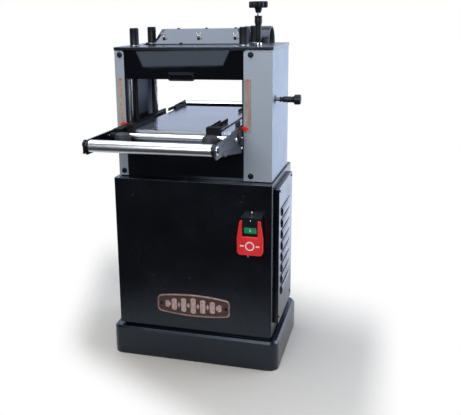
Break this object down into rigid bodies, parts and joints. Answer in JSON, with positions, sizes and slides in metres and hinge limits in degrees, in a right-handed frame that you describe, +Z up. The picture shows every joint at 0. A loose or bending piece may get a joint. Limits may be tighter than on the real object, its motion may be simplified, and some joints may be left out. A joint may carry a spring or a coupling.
{
  "type": "thickness planer",
  "caption": "Thickness planer on a closed stand: fixed cutterhead, rising table on four columns, roller extensions, dust hood with side port, crank, and magnetic paddle switch.",
  "frame": {"origin": "centre of the underside of the plinth, on the floor", "axes": "+Z up, -Y towards the operator at the infeed side, +X towards the drive side"},
  "size_m": [0.547, 0.8266, 1.031],
  "materials": {
    "black_paint": "gloss powder coat",
    "silver_paint": "satin powder coat",
    "black_plastic": "moulded, fine texture",
    "steel": "turned",
    "chrome": "polished",
    "cast_iron": "ground on working faces",
    "red_plastic": "moulded",
    "green_plastic": "moulded",
    "rubber": "matt",
    "pewter": "cast, copper-toned relief"
  },
  "bodies": {
    "stand": {"plinth": "black_paint", "cabinet": "black_paint", "vent_panel": "black_paint", "motor": "black_paint", "motor_mount": "black_paint", "base": "black_paint", "left_liner": "black_paint", "right_liner": "black_paint", "top_plate": "black_paint", "front_cover": "black_paint", "rear_cover": "black_paint", "dust_hood": "black_paint", "left_cover": "silver_paint", "right_cover": "silver_paint", "switch_box": "black_plastic", "screw_cap_front_left": "black_plastic", "screw_cap_front_right": "black_plastic", "screw_cap_rear_left": "black_plastic", "screw_cap_rear_right": "black_plastic", "dust_chute": "black_plastic", "lift_chain": "steel", "column_front_left": "chrome", "column_front_right": "chrome", "column_rear_left": "chrome", "column_rear_right": "chrome", "head_frame": "cast_iron", "feed_gearbox": "cast_iron", "drive_belt": "rubber", "badge": "pewter"},
    "table": {"table": "cast_iron", "table_carriage": "cast_iron", "side_rail_left": "cast_iron", "side_rail_right": "cast_iron", "extension_arm_left": "black_paint", "extension_arm_right": "black_paint", "guide_bar": "steel", "pointer_left": "red_plastic", "pointer_right": "red_plastic"},
    "front_roller": {"front_roller": "chrome"},
    "near_roller": {"near_roller": "chrome"},
    "rear_roller": {"rear_roller": "chrome"},
    "guide_left": {"work_guide_left": "black_plastic"},
    "guide_right": {"work_guide_right": "black_plastic"},
    "knob_left": {"guide_knob_left": "black_plastic"},
    "knob_right": {"guide_knob_right": "black_plastic"},
    "crank": {"crank_spindle": "black_plastic", "crank_knob": "black_plastic"},
    "cutterhead": {"cutterhead": "steel", "cutterhead_pulley": "cast_iron"},
    "motor_rotor": {"motor_pulley": "cast_iron"},
    "infeed": {"infeed_roller": "steel"},
    "outfeed": {"outfeed_roller": "rubber"},
    "speed_knob": {"speed_knob": "black_plastic"},
    "fingers": {"kickback_fingers": "steel"},
    "start_button": {"start_button": "green_plastic"},
    "stop_paddle": {"stop_paddle": "red_plastic"},
    "screw_front_left": {"lead_screw_front_left": "steel"},
    "screw_front_right": {"lead_screw_front_right": "steel"},
    "screw_rear_left": {"lead_screw_rear_left": "steel"},
    "screw_rear_right": {"lead_screw_rear_right": "steel"}
  },
  "joints": [
    {"name": "table_lift", "type": "slide", "parent": "stand", "child": "table", "axis": [0, 0, 1], "range_m": [0, 0.105]},
    {"name": "lead_screw_turn_front_left", "type": "hinge", "parent": "stand", "child": "screw_front_left", "pos_m": [-0.185, -0.072, 0.566], "axis": [0, 0, 1], "continuous": true},
    {"name": "lead_screw_turn_front_right", "type": "hinge", "parent": "stand", "child": "screw_front_right", "pos_m": [0.1345, -0.072, 0.566], "axis": [0, 0, 1], "continuous": true},
    {"name": "lead_screw_turn_rear_left", "type": "hinge", "parent": "stand", "child": "screw_rear_left", "pos_m": [-0.185, 0.072, 0.566], "axis": [0, 0, 1], "continuous": true},
    {"name": "lead_screw_turn_rear_right", "type": "hinge", "parent": "stand", "child": "screw_rear_right", "pos_m": [0.1345, 0.072, 0.566], "axis": [0, 0, 1], "continuous": true},
    {"name": "crank_turn", "type": "hinge", "parent": "stand", "child": "crank", "pos_m": [0.17, -0.05, 0.914], "axis": [0, 0, 1], "continuous": true},
    {"name": "cutterhead_spin", "type": "hinge", "parent": "stand", "child": "cutterhead", "pos_m": [0, 0, 0.858], "axis": [1, 0, 0], "continuous": true},
    {"name": "motor_spin", "type": "hinge", "parent": "stand", "child": "motor_rotor", "pos_m": [0, 0, 0.23], "axis": [1, 0, 0], "continuous": true},
    {"name": "infeed_spin", "type": "hinge", "parent": "stand", "child": "infeed", "pos_m": [0, -0.045, 0.845], "axis": [1, 0, 0], "continuous": true},
    {"name": "outfeed_spin", "type": "hinge", "parent": "stand", "child": "outfeed", "pos_m": [0, 0.045, 0.845], "axis": [1, 0, 0], "continuous": true},
    {"name": "speed_shift", "type": "slide", "parent": "stand", "child": "speed_knob", "axis": [1, 0, 0], "range_m": [-0.01, 0]},
    {"name": "fingers_swing", "type": "hinge", "parent": "stand", "child": "fingers", "pos_m": [0, -0.088, 0.85], "axis": [1, 0, 0], "range_deg": [0, 50]},
    {"name": "start_press", "type": "slide", "parent": "stand", "child": "start_button", "axis": [0, 1, 0], "range_m": [0, 0.004], "stiffness_N_per_m": 300},
    {"name": "stop_paddle_swing", "type": "hinge", "parent": "stand", "child": "stop_paddle", "pos_m": [0.1775, -0.189, 0.449], "axis": [1, 0, 0], "range_deg": [-65, 3], "stiffness_Nm_per_rad": 0.4},
    {"name": "front_roller_spin", "type": "hinge", "parent": "table", "child": "front_roller", "pos_m": [0, -0.398, 0.6862], "axis": [1, 0, 0], "continuous": true},
    {"name": "near_roller_spin", "type": "hinge", "parent": "table", "child": "near_roller", "pos_m": [0, -0.262, 0.689], "axis": [1, 0, 0], "continuous": true},
    {"name": "rear_roller_spin", "type": "hinge", "parent": "table", "child": "rear_roller", "pos_m": [0, 0.398, 0.6862], "axis": [1, 0, 0], "continuous": true},
    {"name": "guide_shift_left", "type": "slide", "parent": "table", "child": "guide_left", "axis": [1, 0, 0], "range_m": [-0.015, 0.08]},
    {"name": "guide_shift_right", "type": "slide", "parent": "table", "child": "guide_right", "axis": [1, 0, 0], "range_m": [-0.08, 0.015]},
    {"name": "guide_knob_turn_left", "type": "hinge", "parent": "guide_left", "child": "knob_left", "pos_m": [-0.139, -0.295, 0.664], "axis": [0, 0, 1], "continuous": true},
    {"name": "guide_knob_turn_right", "type": "hinge", "parent": "guide_right", "child": "knob_right", "pos_m": [0.098, -0.295, 0.664], "axis": [0, 0, 1], "continuous": true}
  ],
  "couplings": [
    {"joint": "lead_screw_turn_front_left", "follows": "table_lift", "rad_per_m": 1570.8},
    {"joint": "lead_screw_turn_front_right", "follows": "table_lift", "rad_per_m": 1570.8},
    {"joint": "lead_screw_turn_rear_left", "follows": "table_lift", "rad_per_m": 1570.8},
    {"joint": "lead_screw_turn_rear_right", "follows": "table_lift", "rad_per_m": 1570.8},
    {"joint": "crank_turn", "follows": "table_lift", "rad_per_m": 1570.8},
    {"joint": "motor_spin", "follows": "cutterhead_spin", "ratio": 0.7111},
    {"joint": "infeed_spin", "follows": "cutterhead_spin", "ratio": -0.011},
    {"joint": "outfeed_spin", "follows": "cutterhead_spin", "ratio": -0.011}
  ]
}
